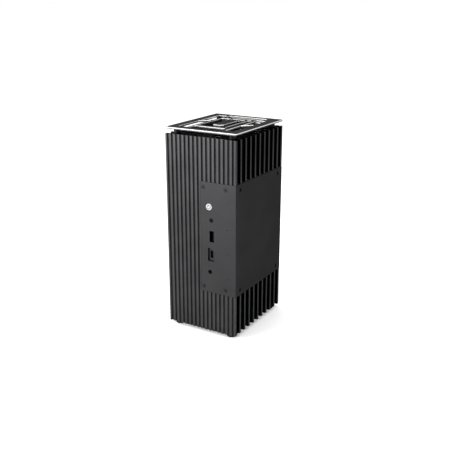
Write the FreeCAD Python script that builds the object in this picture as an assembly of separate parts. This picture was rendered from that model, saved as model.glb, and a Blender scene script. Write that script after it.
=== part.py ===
"""Fanless tower mini PC: two finned aluminium heatsinks back to back around a board bay.

Frame: origin at the centre of the footprint, on the surface that the feet stand on.
+Z is up, the front with its ports faces -Y, and +X points to the removable side cover.
All sizes are in millimetres. Every function builds one sub-part, or a group of like ones.
"""
import math
import os

import FreeCAD
import Part

# ---- driving dimensions of the whole object ----
WIDTH = 95.0
DEPTH = 113.5
HEIGHT = 248.0
FOOT_HEIGHT = 4.0
GRILLE_THICKNESS = 2.0
GRILLE_GAP = 5.5
LOWER_BLOCK_HEIGHT = 50.5
UPPER_BLOCK_HEIGHT = 50.5

HALF_W = WIDTH / 2
HALF_D = DEPTH / 2
BODY_LOW = FOOT_HEIGHT
GRILLE_LOW = HEIGHT - GRILLE_THICKNESS
BODY_HIGH = GRILLE_LOW - GRILLE_GAP
BAY_LOW = BODY_LOW + LOWER_BLOCK_HEIGHT
BAY_HIGH = BODY_HIGH - UPPER_BLOCK_HEIGHT
BAY_MID = (BAY_LOW + BAY_HIGH) / 2

# ---- heatsink extrusion ----
BASE_THICKNESS = 7.0
WALL_THICKNESS = 3.2
FIN_COUNT = 11
FIN_TIP = 2.6
FIN_ROOT = 3.3
FIN_PITCH = (DEPTH - FIN_TIP) / (FIN_COUNT - 1)
RIB_PITCH = 5.8
GROOVES_PER_HALF = 8
GROOVE_WIDTH = 2.3
GROOVE_DEPTH = 1.6
EDGE_ROUND = 0.7

# ---- screw ports, feet and grille posts share one axis at each corner ----
CORNER_X = 37.2
CORNER_Y = 47.2
INNER_PORT_X = 12.5
PORT_RADIUS = 4.6
PORT_WEB = 1.2
M3_SHANK = 1.5
M3_HOLE = 1.56

# ---- bay panels ----
PLATE_THICKNESS = 2.5
PANEL_GAP = 0.25
PLATE_SCREW_X = (4.2, 34.2)
PANEL_SCREW_INSET = 6.8
COVER_SCREW_Y = 46.0

# ---- heat pipes and processor contact ----
PIPE_RADIUS = 3.0
PIPE_SEAT = 3.05
PIPE_PITCH = 10.5
PIPE_COUNT = 4
PIPE_END_GAP = 9.0

# ---- board, standing on edge, parallel to the side cover ----
BOARD_SIZE = 104.0
BOARD_THICKNESS = 1.6
BOARD_BACK = 10.8
BOARD_FACE = BOARD_BACK + BOARD_THICKNESS
BOARD_HOLE_OFFSET = 47.0

# ---- front ports: heights above the surface and offsets from the middle ----
BUTTON_X, BUTTON_Z = 11.4, 160.4
INFRARED_X, INFRARED_Z = 14.7, 144.8
USB_A_X, USB_A_Z = 15.25, 125.0
USB_C_X, USB_C_Z = 14.2, 102.5
MIC_X, MIC_Z = 12.3, 88.0
AUDIO_X, AUDIO_Z = 12.7, 80.7
PIN_HOLE = 0.5
PIN_VENT_X = 36.5
PIN_VENT_MID = 121.1
PIN_VENT_PITCH = 30.4

# ---- power button ----
BUTTON_RADIUS = 4.1
BUTTON_HOLE = 4.5
BUTTON_FLANGE = 5.0
MARK_RADIUS = 2.5
MARK_LINE = 0.6
MARK_DEPTH = 0.25
BUTTON_TRAVEL = 0.6

# ---- rear ports, from the top down ----
DC_X, DC_Z = 17.4, 160.0
SCREEN_X, SCREEN_Z = 15.4, 146.0
VIDEO_X, VIDEO_Z = 15.3, 128.0
LAN_X, LAN_Z = 19.4, 109.0
REAR_USB_X, REAR_USB_Z = 20.3, 90.0
ANTENNA_X, ANTENNA_Z = 36.0, (168.0, 148.0)

# ---- round pieces that show in the panels ----
INFRARED_RADIUS = 2.6
AUDIO_NOSE = 2.7
DC_NOSE = 4.0
PLUG_HEAD = 4.45
PLUG_STEM = 3.15
PLUG_SEAT = 1.0

# ---- port shells: half their width and height, and how they sit in the panels ----
USB_A_HALF = (2.8, 6.55)
USB_C_HALF = (1.65, 4.5)
USB_C_RECESS_HALF = (4.3, 8.2)
USB_C_RECESS_DEPTH = 2.2
USB_C_PAD_HALF = (5.6, 9.5)
LAN_HALF = (6.9, 8.0)
REAR_USB_HALF = (7.8, 6.55)
SHELL_WALL = 0.3
PORT_GAP = 0.25
NOSE_INSET = 0.15

V = FreeCAD.Vector


# ---- small tools ----
def box(x0, x1, y0, y1, z0, z1):
    return Part.makeBox(x1 - x0, y1 - y0, z1 - z0, V(x0, y0, z0))


def rod(axis, centre, radius, start, end):
    """Cylinder along axis 'x', 'y' or 'z', from start to end; centre holds the other two coordinates."""
    a, b = centre
    places = {"x": (start, a, b), "y": (a, start, b), "z": (a, b, start)}
    directions = {"x": (1, 0, 0), "y": (0, 1, 0), "z": (0, 0, 1)}
    return Part.makeCylinder(radius, end - start, V(*places[axis]), V(*directions[axis]))


def cone(axis, centre, radius_start, radius_end, start, end):
    """Cone along axis, with the radius at each end; end may lie below start."""
    a, b = centre
    places = {"x": (start, a, b), "y": (a, start, b), "z": (a, b, start)}
    sign = 1 if end > start else -1
    directions = {"x": (sign, 0, 0), "y": (0, sign, 0), "z": (0, 0, sign)}
    length = abs(end - start)
    return Part.makeCone(radius_start, radius_end, length, V(*places[axis]), V(*directions[axis]))


def rounded_face(corners, plane="xy", level=0.0):
    """Face from corners (u, v, radius), each rounded by a tangent arc; plane is 'xy', 'yz' or 'xz'."""

    def place(p):
        spots = {"xy": (p.x, p.y, level), "yz": (level, p.x, p.y), "xz": (p.x, level, p.y)}
        return V(*spots[plane])

    edges = []
    ends = []
    for i, (u, v, radius) in enumerate(corners):
        here = V(u, v, 0)
        before = V(*corners[i - 1][:2], 0)
        after = V(*corners[(i + 1) % len(corners)][:2], 0)
        if radius <= 0:
            ends.append((here, here, None))
            continue
        to_before = (before - here).normalize()
        to_after = (after - here).normalize()
        half = to_before.getAngle(to_after) / 2
        reach = radius / math.tan(half)
        start = here + to_before * reach
        end = here + to_after * reach
        bisector = (to_before + to_after).normalize()
        middle = here + bisector * (radius / math.sin(half) - radius)
        ends.append((start, end, middle))
    for i, (start, end, middle) in enumerate(ends):
        if middle is not None:
            edges.append(Part.Arc(place(start), place(middle), place(end)).toShape())
        next_start = ends[(i + 1) % len(ends)][0]
        if (next_start - end).Length > 1e-6:
            edges.append(Part.LineSegment(place(end), place(next_start)).toShape())
    return Part.Face(Part.Wire(edges))


def rectangle(u0, u1, v0, v1, radius=0.0):
    return [(u0, v0, radius), (u1, v0, radius), (u1, v1, radius), (u0, v1, radius)]


def port_outline(x, z, half, radius, grow=0.0):
    """Rounded rectangle round (x, z) from half its width and height, grown by a clearance."""
    half_x, half_z = half[0] + grow, half[1] + grow
    return rectangle(x - half_x, x + half_x, z - half_z, z + half_z, radius)


def slab_xy(corners, z0, z1):
    return rounded_face(corners, "xy", z0).extrude(V(0, 0, z1 - z0))


def slab_xz(corners, y0, y1):
    return rounded_face(corners, "xz", y0).extrude(V(0, y1 - y0, 0))


def slab_yz(corners, x0, x1):
    return rounded_face(corners, "yz", x0).extrude(V(x1 - x0, 0, 0))


def group(shapes):
    return Part.makeCompound(shapes)


def corner_places():
    return [(sx * CORNER_X, sy * CORNER_Y) for sx in (-1, 1) for sy in (-1, 1)]


def fin_centre(index):
    return -HALF_D + FIN_TIP / 2 + index * FIN_PITCH


# ---- heatsinks ----
def heatsink_outline(side):
    """Cross-section of one half: a base, two ribbed outer walls and the fins between them."""
    tip = side * HALF_W
    root = side * BASE_THICKNESS
    corners = [(0, -HALF_D, 0), (tip, -HALF_D, 1.0)]
    for gap in range(FIN_COUNT - 1):
        low_wall = gap == 0
        high_wall = gap == FIN_COUNT - 2
        low, high = fin_centre(gap), fin_centre(gap + 1)
        low_tip = -HALF_D + WALL_THICKNESS if low_wall else low + FIN_TIP / 2
        low_root = low_tip if low_wall else low + FIN_ROOT / 2
        high_tip = HALF_D - WALL_THICKNESS if high_wall else high - FIN_TIP / 2
        high_root = high_tip if high_wall else high - FIN_ROOT / 2
        corners += [(tip, low_tip, EDGE_ROUND), (root, low_root, 1.5)]
        corners += [(root, high_root, 1.5), (tip, high_tip, EDGE_ROUND)]
    corners += [(tip, HALF_D, 1.0), (0, HALF_D, 0)]
    return corners


def groove_cutter(x, side_y, z0, z1):
    """One groove of the ribbed face, with rounded lips, cut inwards from the face at side_y."""
    face = side_y * HALF_D
    half = GROOVE_WIDTH / 2
    lip = half + EDGE_ROUND + 0.4
    outside = face + side_y
    floor = face - side_y * GROOVE_DEPTH
    corners = [
        (x - lip, outside, 0),
        (x - lip, face, 0),
        (x - half, face, EDGE_ROUND),
        (x - half, floor, 0.5),
        (x + half, floor, 0.5),
        (x + half, face, EDGE_ROUND),
        (x + lip, face, 0),
        (x + lip, outside, 0),
    ]
    return slab_xy(corners, z0, z1)


def heatsink(side, z0, z1):
    """Half of the body from z0 to z1, with its fins pointing to +X (side 1) or -X (side -1)."""
    body = slab_xy(heatsink_outline(side), z0, z1)
    port_xs = (CORNER_X,) if side < 0 else (CORNER_X, INNER_PORT_X)
    webs = []
    for sy in (-1, 1):
        for x in port_xs:
            web_y = sorted((sy * (HALF_D - WALL_THICKNESS / 2), sy * (HALF_D - FIN_PITCH - PORT_WEB)))
            corners = rectangle(side * x - PORT_RADIUS, side * x + PORT_RADIUS, *web_y, 1.0)
            webs.append(slab_xy(corners, z0, z1))
    body = body.fuse(webs).removeSplitter()
    cutters = []
    for sy in (-1, 1):
        for k in range(GROOVES_PER_HALF):
            cutters.append(groove_cutter(side * (k + 0.5) * RIB_PITCH, sy, z0 - 1, z1 + 1))
        for x in port_xs:
            cutters.append(rod("z", (side * x, sy * CORNER_Y), M3_HOLE, z0 - 1, z1 + 1))
    for y in pipe_places():
        cutters.append(rod("z", (0, y), PIPE_SEAT, z0 - 1, z1 + 1))
    body = body.cut(group(cutters))
    rim = box(*sorted((0, side * HALF_W)), -HALF_D, HALF_D, z0, z1)
    outer = [
        e
        for e in rim.Edges
        if abs(abs(e.CenterOfMass.x) - HALF_W) < 0.01 and abs(e.CenterOfMass.y) < 0.01
    ]
    return body.common(rim.makeFillet(1.0, outer))


def block_screw_places():
    """(y, z) of the screws that clamp the right-hand blocks to the left heatsink's base."""
    y = 3.5 * FIN_PITCH
    inset = 12.0
    low = (BODY_LOW + inset, BAY_LOW - inset)
    high = (BAY_HIGH + inset, BODY_HIGH - inset)
    return [(sy * y, z) for sy in (-1, 1) for z in low + high]


def left_heatsink():
    body = heatsink(-1, BODY_LOW, BODY_HIGH)
    holes = [rod("x", p, M3_HOLE, -BASE_THICKNESS - 1, 1) for p in block_screw_places()]
    holes += [rod("x", p, M3_HOLE, -5.5, 1) for p in board_hole_places() + cpu_screw_places()]
    return body.cut(group(holes))


def right_heatsink(z0, z1):
    body = heatsink(1, z0, z1)
    places = [p for p in block_screw_places() if z0 < p[1] < z1]
    return body.cut(group([rod("x", p, M3_HOLE, -1, 5.2) for p in places]))


def block_screws():
    screws = []
    for p in block_screw_places():
        shank = rod("x", p, M3_SHANK, -BASE_THICKNESS, 5.0)
        screws.append(cap_head("x", p, -BASE_THICKNESS, -1).fuse(shank))
    return group(screws)


def cap_head(axis, centre, seat, way, radius=2.75, height=3.0, key=1.45):
    """Socket head on a seat, standing towards way (+1 or -1) along axis, with its hexagon socket."""
    head = rod(axis, centre, radius, *sorted((seat, seat + way * height)))
    depth = height * 0.55
    socket = hexagon(axis, centre, key, *sorted((seat + way * (height - depth), seat + way * (height + 1))))
    return head.cut(socket)


def hexagon(axis, centre, inner_radius, start, end):
    reach = inner_radius / math.cos(math.pi / 6)
    turns = [math.radians(60 * k) for k in range(6)]
    corners = [(centre[0] + reach * math.cos(t), centre[1] + reach * math.sin(t), 0) for t in turns]
    build = {"x": slab_yz, "y": slab_xz, "z": slab_xy}[axis]
    return build(corners, start, end)


# ---- heat pipes and processor contact block ----
def pipe_places():
    return [(k - (PIPE_COUNT - 1) / 2) * PIPE_PITCH for k in range(PIPE_COUNT)]


def heat_pipe(y):
    """Sintered copper pipe with domed ends, from the lower fin block to the upper one."""
    low, high = BODY_LOW + PIPE_END_GAP, BODY_HIGH - PIPE_END_GAP
    pipe = rod("z", (0, y), PIPE_RADIUS, low + PIPE_RADIUS, high - PIPE_RADIUS)
    ends = [Part.makeSphere(PIPE_RADIUS, V(0, y, z)) for z in (low + PIPE_RADIUS, high - PIPE_RADIUS)]
    return pipe.fuse(ends).removeSplitter()


CPU_Z = BAY_MID + 4.0
CPU_BLOCK_Y = 27.0
CPU_BLOCK_Z = 24.0
CPU_BLOCK_FACE = 8.9


def cpu_screw_places():
    y, z = CPU_BLOCK_Y - 3.6, CPU_BLOCK_Z - 4
    return [(sy * y, CPU_Z + sz * z) for sy in (-1, 1) for sz in (-1, 1)]


def cpu_block():
    footing = rectangle(-CPU_BLOCK_Y, CPU_BLOCK_Y, CPU_Z - CPU_BLOCK_Z, CPU_Z + CPU_BLOCK_Z, 2)
    low = slab_yz(footing, 0, 4.5)
    raised = slab_yz(rectangle(-17, 17, CPU_Z - 15, CPU_Z + 15, 2), 4.5, CPU_BLOCK_FACE)
    holes = [rod("x", p, M3_HOLE, -1, 6) for p in cpu_screw_places()]
    seats = [rod("z", (0, y), PIPE_SEAT, CPU_Z - 40, CPU_Z + 40) for y in pipe_places()]
    return low.fuse(raised).removeSplitter().cut(group(holes + seats))


def cpu_block_screws():
    screws = []
    for p in cpu_screw_places():
        shank = rod("x", p, M3_SHANK, -4.5, 4.5)
        screws.append(cap_head("x", p, 4.5, 1, height=2.4).fuse(shank))
    return group(screws)


def thermal_pad():
    return slab_yz(rectangle(-12, 12, CPU_Z - 9, CPU_Z + 9, 0.8), CPU_BLOCK_FACE, 9.1)


def cpu_package():
    substrate = slab_yz(rectangle(-17.5, 17.5, CPU_Z - 12.5, CPU_Z + 12.5, 0.5), 9.9, BOARD_BACK)
    die = slab_yz(rectangle(-10, 10, CPU_Z - 7, CPU_Z + 7), 9.1, 9.9)
    return substrate.fuse(die).removeSplitter()


# ---- bay trays: folded sheet behind the fin blocks, tapped for the bay panels ----
TRAY_THICKNESS = 1.5
TRAY_SKIRT = 12.0


def panel_screw_heights():
    return (BAY_LOW + PANEL_SCREW_INSET, BAY_HIGH - PANEL_SCREW_INSET)


def bay_tray(face, way):
    """Folded tray against a fin block's end at height face, its skirt towards way (+1 up, -1 down)."""
    x0, x1 = 0.6, HALF_W - PLATE_THICKNESS
    y1 = HALF_D - PLATE_THICKNESS
    top = face + way * TRAY_THICKNESS
    end = face + way * TRAY_SKIRT
    web = box(x0, x1, -y1, y1, *sorted((face, top)))
    skirt_z = sorted((face, end))
    front = box(x0, x1, -y1, -y1 + TRAY_THICKNESS, *skirt_z)
    rear = box(x0, x1, y1 - TRAY_THICKNESS, y1, *skirt_z)
    side = box(x1 - TRAY_THICKNESS, x1, -y1, y1, *skirt_z)
    tray = web.fuse([front, rear, side]).removeSplitter()
    screw_z = face + way * PANEL_SCREW_INSET
    holes = [rod("y", (x, screw_z), M3_HOLE, -HALF_D, HALF_D) for x in PLATE_SCREW_X]
    holes += [rod("x", (sy * COVER_SCREW_Y, screw_z), M3_HOLE, x1 - 3, x1 + 1) for sy in (-1, 1)]
    holes += [rod("z", p, M3_HOLE, face - 3, face + 3) for p in tray_screw_places()]
    holes.append(box(x0 - 1, 3.8, -25, 25, face - 3, face + 3))
    return tray.cut(group(holes))


def tray_screw_places():
    return [(x, sy * CORNER_Y) for x in (INNER_PORT_X, CORNER_X) for sy in (-1, 1)]


def tray_screws():
    screws = []
    for face, way in ((BAY_LOW, 1), (BAY_HIGH, -1)):
        seat = face + way * TRAY_THICKNESS
        for p in tray_screw_places():
            shank = rod("z", p, M3_SHANK, *sorted((seat, face - way * 8)))
            screws.append(cap_head("z", p, seat, way, height=2.4).fuse(shank))
    return group(screws)


# ---- bay panels and their countersunk screws ----
COUNTERSINK_RADIUS = 2.9
COUNTERSINK_DEPTH = 1.5


def countersunk_hole(axis, centre, face, way, depth):
    """Clearance hole through a panel whose outer face is at face; way points into the panel."""
    hole = rod(axis, centre, M3_HOLE, *sorted((face - way, face + way * depth)))
    sink = cone(axis, centre, COUNTERSINK_RADIUS, M3_HOLE, face, face + way * COUNTERSINK_DEPTH)
    return hole.fuse(sink)


def countersunk_screw(axis, centre, face, way, length):
    """Flat-head screw, 0.15 below face, with its hexagon socket."""
    top = face + way * 0.15
    head = cone(axis, centre, COUNTERSINK_RADIUS - 0.2, M3_SHANK, top, face + way * COUNTERSINK_DEPTH)
    neck = face + way * COUNTERSINK_DEPTH
    shank = rod(axis, centre, M3_SHANK, *sorted((neck, face + way * length)))
    socket = hexagon(axis, centre, 1.0, *sorted((top - way, top + way * 1.0)))
    return head.fuse(shank).removeSplitter().cut(socket)


def panel_corners(low_x):
    return [
        (low_x, BAY_LOW + 0.1, 0),
        (HALF_W, BAY_LOW + 0.1, 0),
        (HALF_W, BAY_HIGH - 0.1, 0),
        (low_x, BAY_HIGH - 0.1, 0),
    ]


def soften(shape, face, size):
    """Chamfer the outer edges that lie on the plane y = face."""
    edges = [e for e in shape.Edges if all(abs(v.Point.y - face) < 1e-6 for v in e.Vertexes)]
    return shape.makeChamfer(size, edges)


def front_io_plate():
    outer, inner = -HALF_D, -HALF_D + PLATE_THICKNESS
    plate = soften(slab_xz(panel_corners(0.1), outer, inner), outer, 0.25)
    pad_outline = port_outline(USB_C_X, USB_C_Z, USB_C_PAD_HALF, 1.0)
    pad = slab_xz(pad_outline, inner - 0.5, inner + 0.9)
    plate = plate.fuse(pad).removeSplitter()
    recess_outline = port_outline(USB_C_X, USB_C_Z, USB_C_RECESS_HALF, 0.3)
    usb_a_outline = port_outline(USB_A_X, USB_A_Z, USB_A_HALF, 0.4, PORT_GAP)
    usb_c_outline = port_outline(USB_C_X, USB_C_Z, USB_C_HALF, 1.75, PORT_GAP)
    through = inner + 2
    cuts = [
        rod("y", (BUTTON_X, BUTTON_Z), BUTTON_HOLE, outer - 1, through),
        rod("y", (INFRARED_X, INFRARED_Z), INFRARED_RADIUS + 0.1, outer - 1, through),
        rod("y", (MIC_X, MIC_Z), PIN_HOLE, outer - 1, through),
        rod("y", (AUDIO_X, AUDIO_Z), AUDIO_NOSE + 0.1, outer - 1, through),
        slab_xz(usb_a_outline, outer - 1, through),
        slab_xz(recess_outline, outer - 1, outer + USB_C_RECESS_DEPTH),
        slab_xz(usb_c_outline, outer - 1, through),
    ]
    for k in (-1.5, -0.5, 0.5, 1.5):
        vent = (PIN_VENT_X, PIN_VENT_MID + k * PIN_VENT_PITCH)
        cuts.append(rod("y", vent, PIN_HOLE, outer - 1, through))
    for x in PLATE_SCREW_X:
        for z in panel_screw_heights():
            cuts.append(countersunk_hole("y", (x, z), outer, 1, PLATE_THICKNESS + 1))
    return plate.cut(group(cuts))


def rear_io_plate():
    outer, inner = HALF_D, HALF_D - PLATE_THICKNESS
    plate = soften(slab_xz(panel_corners(0.1), inner, outer), outer, 0.25)
    low, high = inner - 1, outer + 1
    cuts = [
        rod("y", (DC_X, DC_Z), DC_NOSE + 0.2, low, high),
        slab_xz(screen_outline(PORT_GAP), low, high),
        slab_xz(video_outline(PORT_GAP), low, high),
        slab_xz(port_outline(LAN_X, LAN_Z, LAN_HALF, 0.3, PORT_GAP), low, high),
        slab_xz(port_outline(REAR_USB_X, REAR_USB_Z, REAR_USB_HALF, 0.3, PORT_GAP), low, high),
    ]
    for z in ANTENNA_Z:
        cuts.append(rod("y", (ANTENNA_X, z), PLUG_STEM + 0.1, low, high))
        cuts.append(rod("y", (ANTENNA_X, z), PLUG_HEAD + 0.15, outer - PLUG_SEAT, high))
    for x in PLATE_SCREW_X:
        for z in panel_screw_heights():
            cuts.append(countersunk_hole("y", (x, z), outer, -1, PLATE_THICKNESS + 1))
    return plate.cut(group(cuts))


def side_cover():
    y1 = HALF_D - PLATE_THICKNESS - PANEL_GAP
    corners = rectangle(-y1, y1, BAY_LOW + 0.1, BAY_HIGH - 0.1, 0.6)
    cover = slab_yz(corners, HALF_W - PLATE_THICKNESS, HALF_W)
    edges = [e for e in cover.Edges if all(abs(v.Point.x - HALF_W) < 1e-6 for v in e.Vertexes)]
    cover = cover.makeChamfer(0.25, edges)
    holes = [countersunk_hole("x", p, HALF_W, -1, PLATE_THICKNESS + 1) for p in cover_screw_places()]
    return cover.cut(group(holes))


def cover_screw_places():
    return [(sy * COVER_SCREW_Y, z) for sy in (-1, 1) for z in panel_screw_heights()]


def panel_screws():
    """Four screws in each of the front panel, the rear panel and the side cover."""
    places = [(x, z) for x in PLATE_SCREW_X for z in panel_screw_heights()]
    screws = [countersunk_screw("y", p, -HALF_D, 1, 5.5) for p in places]
    screws += [countersunk_screw("y", p, HALF_D, -1, 5.5) for p in places]
    screws += [countersunk_screw("x", p, HALF_W, -1, 5.5) for p in cover_screw_places()]
    return group(screws)


# ---- floating top grille on its four posts ----
GRILLE_BORDER = 11.5
GRILLE_BAR = 3.3
POST_RADIUS = 3.6
GRILLE_END = 12.0
CROSS_SLOT_EDGE = 9.0
CROSS_SLOT_BACK = 92.5
COLUMN_BEND, LANE_BEND = 53.0, 50.0
LANE_START, LANE_END = 15.0, 89.0
MAZE_LEFT, MAZE_RIGHT = 26.3, 59.7
MAZE_FRONT, MAZE_BACK = 28.0, 85.0
LANE_LEFT, LANE_RIGHT = 63.0, 69.0
SLOT_CORNER = 2.5


def cut_corner_rectangle(x0, x1, y0, y1, cut):
    """Corner list of a rectangle with its four corners cut at 45 degrees."""
    corners = [(x0 + cut, y0), (x1 - cut, y0), (x1, y0 + cut), (x1, y1 - cut)]
    corners += [(x1 - cut, y1), (x0 + cut, y1), (x0, y1 - cut), (x0, y0 + cut)]
    return corners


def column_slots(x0, x1, y0, bend, y1):
    """Two slots in one column, parted by a bar that crosses at 45 degrees from height bend."""
    width = x1 - x0
    bar = GRILLE_BAR * math.sqrt(2)
    low = [(x0, y0), (x1, y0), (x1, bend + width), (x0, bend)]
    high = [(x0, bend + bar), (x1, bend + bar + width), (x1, y1), (x0, y1)]
    return [low, high]


def grille_slots():
    """Outlines of the maze's slots, from the front left corner of the plate."""
    left, right = GRILLE_BORDER, WIDTH - GRILLE_BORDER
    slots = column_slots(left, MAZE_LEFT - GRILLE_BAR, GRILLE_END, COLUMN_BEND, DEPTH - GRILLE_END)
    slots += column_slots(LANE_RIGHT + GRILLE_BAR, right, LANE_START, LANE_BEND, LANE_END)
    cross_slots = [
        (MAZE_LEFT, LANE_RIGHT - 1.0, CROSS_SLOT_EDGE, MAZE_FRONT - 3.5),
        (MAZE_LEFT, right - 4.0, CROSS_SLOT_BACK, DEPTH - CROSS_SLOT_EDGE),
        (LANE_LEFT, LANE_RIGHT, MAZE_FRONT, MAZE_BACK),
    ]
    return slots + [cut_corner_rectangle(*sides, SLOT_CORNER) for sides in cross_slots]


def maze_island():
    """Tongue of plate that reaches into the widest slot from its rear edge."""
    x0, x1, y0, y1 = 38.0, 52.7, 41.0, 78.0
    cut = SLOT_CORNER
    return [
        (x0, y0 + cut),
        (x0 + cut, y0),
        (x1 - cut, y0),
        (x1, y0 + cut),
        (x1, y1 - cut),
        (x1 - cut, y1),
        (x0 + 5.5, y1),
        (x0 + 3.5, y1 + 2.0),
        (x0 + 3.5, MAZE_BACK + 1.0),
        (x0, MAZE_BACK + 1.0),
    ]


def grille_cutter(outline):
    corners = [(x - HALF_W, y - HALF_D, 0.6) for x, y in outline]
    return slab_xy(corners, GRILLE_LOW - 1, HEIGHT + 1)


def top_grille():
    plate = slab_xy(rectangle(-HALF_W, HALF_W, -HALF_D, HALF_D, 1.0), GRILLE_LOW, HEIGHT)
    ring = cut_corner_rectangle(MAZE_LEFT, MAZE_RIGHT, MAZE_FRONT, MAZE_BACK, SLOT_CORNER)
    cutters = [grille_cutter(outline) for outline in grille_slots()]
    cutters.append(grille_cutter(ring).cut(grille_cutter(maze_island())))
    plate = plate.cut(group(cutters))
    edges = [e for e in plate.Edges if all(abs(v.Point.z - HEIGHT) < 1e-6 for v in e.Vertexes)]
    plate = plate.makeChamfer(0.3, edges)
    holes = [rod("z", p, M3_HOLE, GRILLE_LOW - 1, GRILLE_LOW + 1.3) for p in corner_places()]
    return plate.cut(group(holes))


def grille_posts():
    posts = []
    for p in corner_places():
        post = rod("z", p, POST_RADIUS, BODY_HIGH, GRILLE_LOW)
        stud = rod("z", p, M3_SHANK, BODY_HIGH - 9, GRILLE_LOW + 1.2)
        posts.append(post.fuse(stud).removeSplitter())
    return group(posts)


# ---- feet ----
FOOT_RADIUS = 7.0
FOOT_TAPER = 0.8
FOOT_ROUND = 1.4
FOOT_SEAT = FOOT_HEIGHT - 1.2
FOOT_SCREW_HEAD = 2.2


def foot(place):
    """Moulded rubber foot, wider at the top, with a recess for its screw."""
    body = cone("z", place, FOOT_RADIUS - FOOT_TAPER, FOOT_RADIUS, 0, FOOT_HEIGHT)
    low_edge = [e for e in body.Edges if abs(e.BoundBox.ZMax) < 1e-6]
    body = body.makeFillet(FOOT_ROUND, low_edge)
    recess = rod("z", place, 3.2, -1, FOOT_SEAT)
    hole = rod("z", place, M3_HOLE, -1, FOOT_HEIGHT + 1)
    return body.cut(recess.fuse(hole))


def foot_screws():
    screws = []
    for p in corner_places():
        shank = rod("z", p, M3_SHANK, FOOT_SEAT, FOOT_HEIGHT + 8)
        screws.append(cap_head("z", p, FOOT_SEAT, -1, height=FOOT_SCREW_HEAD).fuse(shank))
    return group(screws)


# ---- power button, its spring and the switch on the board ----
BUTTON_FACE = -HALF_D
BUTTON_SEAT = -HALF_D + PLATE_THICKNESS
FLANGE_BACK = BUTTON_SEAT + 0.8
SWITCH_FACE = -HALF_D + 5.6
PLUNGER_REACH = BUTTON_TRAVEL + 0.1


def power_button():
    """Turned cap with a chamfered rim and the engraved power mark, a flange and a stem."""
    x, z = centre = (BUTTON_X, BUTTON_Z)
    cap = rod("y", centre, BUTTON_RADIUS, BUTTON_FACE, FLANGE_BACK)
    rim = [e for e in cap.Edges if all(abs(v.Point.y - BUTTON_FACE) < 1e-6 for v in e.Vertexes)]
    cap = cap.makeChamfer(0.35, rim)
    flange = rod("y", centre, BUTTON_FLANGE, BUTTON_SEAT + 0.1, FLANGE_BACK)
    stem = rod("y", centre, 1.2, FLANGE_BACK, SWITCH_FACE - PLUNGER_REACH)
    floor = BUTTON_FACE + MARK_DEPTH
    ring = rod("y", centre, MARK_RADIUS, BUTTON_FACE - 1, floor)
    ring = ring.cut(rod("y", centre, MARK_RADIUS - MARK_LINE, BUTTON_FACE - 2, floor + 1))
    opening = 1.5 * MARK_LINE
    ring = ring.cut(box(x - opening, x + opening, BUTTON_FACE - 2, floor + 1, z, z + BUTTON_RADIUS))
    bar = box(x - MARK_LINE / 2, x + MARK_LINE / 2, BUTTON_FACE - 1, floor, z + 0.7, z + MARK_RADIUS + 0.3)
    body = cap.fuse([flange, stem]).removeSplitter()
    return body.cut(group([ring, bar]))


def button_spring():
    """Return spring round the stem, between the flange and the switch."""
    radius, wire, turns = 2.0, 0.16, 3
    low = FLANGE_BACK + wire + 0.05
    high = SWITCH_FACE - wire - 0.05
    helix = Part.makeHelix((high - low) / turns, high - low, radius)
    section = Part.Wire(Part.Circle(V(radius, 0, 0), V(0, 1, 0), wire).toShape())
    coil = Part.Wire(helix.Edges).makePipeShell([section], True, True)
    coil.rotate(V(0, 0, 0), V(1, 0, 0), -90)
    coil.translate(V(BUTTON_X, low, BUTTON_Z))
    return coil


def power_switch():
    """Side-press switch let into the board's front edge, with a pocket for its plunger."""
    x, z = centre = (BUTTON_X, BUTTON_Z)
    body = box(x - 1.75, x + 1.75, SWITCH_FACE, SWITCH_FACE + 2.4, z - 3, z + 3)
    return body.cut(rod("y", centre, 0.95, SWITCH_FACE - 1, SWITCH_FACE + 1.2))


def switch_plunger():
    return rod("y", (BUTTON_X, BUTTON_Z), 0.85, SWITCH_FACE - PLUNGER_REACH, SWITCH_FACE + 0.5)


# ---- motherboard and what holds it ----
NOTCH_SWITCH = 3.2
NOTCH_AUDIO = 2.8
AUDIO_BACK = -44.6


def board_hole_places():
    offset = BOARD_HOLE_OFFSET
    return [(sy * offset, BAY_MID + sz * offset) for sy in (-1, 1) for sz in (-1, 1)]


def motherboard():
    half = BOARD_SIZE / 2
    outline = rectangle(-half, half, BAY_MID - half, BAY_MID + half, 1.5)
    board = slab_yz(outline, BOARD_BACK, BOARD_FACE)
    x0, x1 = BOARD_BACK - 1, BOARD_FACE + 1
    cuts = [rod("x", p, M3_HOLE, x0, x1) for p in board_hole_places()]
    switch_back = SWITCH_FACE + 2.6
    cuts.append(box(x0, x1, -half - 1, switch_back, BUTTON_Z - NOTCH_SWITCH, BUTTON_Z + NOTCH_SWITCH))
    cuts.append(box(x0, x1, -half - 1, AUDIO_BACK + 0.2, AUDIO_Z - NOTCH_AUDIO, AUDIO_Z + NOTCH_AUDIO))
    return board.cut(group(cuts))


def board_standoffs():
    """Hexagonal spacers screwed into the left heatsink's base, tapped for the board screws."""
    spacers = []
    for p in board_hole_places():
        spacer = hexagon("x", p, 2.75, 0, BOARD_BACK)
        stud = rod("x", p, M3_SHANK, -5.0, 0)
        tapped = rod("x", p, M3_HOLE, 4.5, BOARD_BACK + 1)
        spacers.append(spacer.fuse(stud).removeSplitter().cut(tapped))
    return group(spacers)


def board_screws():
    screws = []
    for p in board_hole_places():
        shank = rod("x", p, M3_SHANK, BOARD_BACK - 4.8, BOARD_FACE)
        screws.append(cap_head("x", p, BOARD_FACE, 1, radius=2.45, height=2.0, key=1.0).fuse(shank))
    return group(screws)


# ---- memory, one module above the other ----
MEMORY_Z = 131.0
MODULE_LENGTH = 67.6
MODULE_DEPTH = 30.0
MODULE_THICKNESS = 1.2
LOW_MEMORY_Y, LOW_MEMORY_X = -20.0, 15.0
HIGH_MEMORY_Y, HIGH_MEMORY_X = -30.0, 19.0


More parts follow.
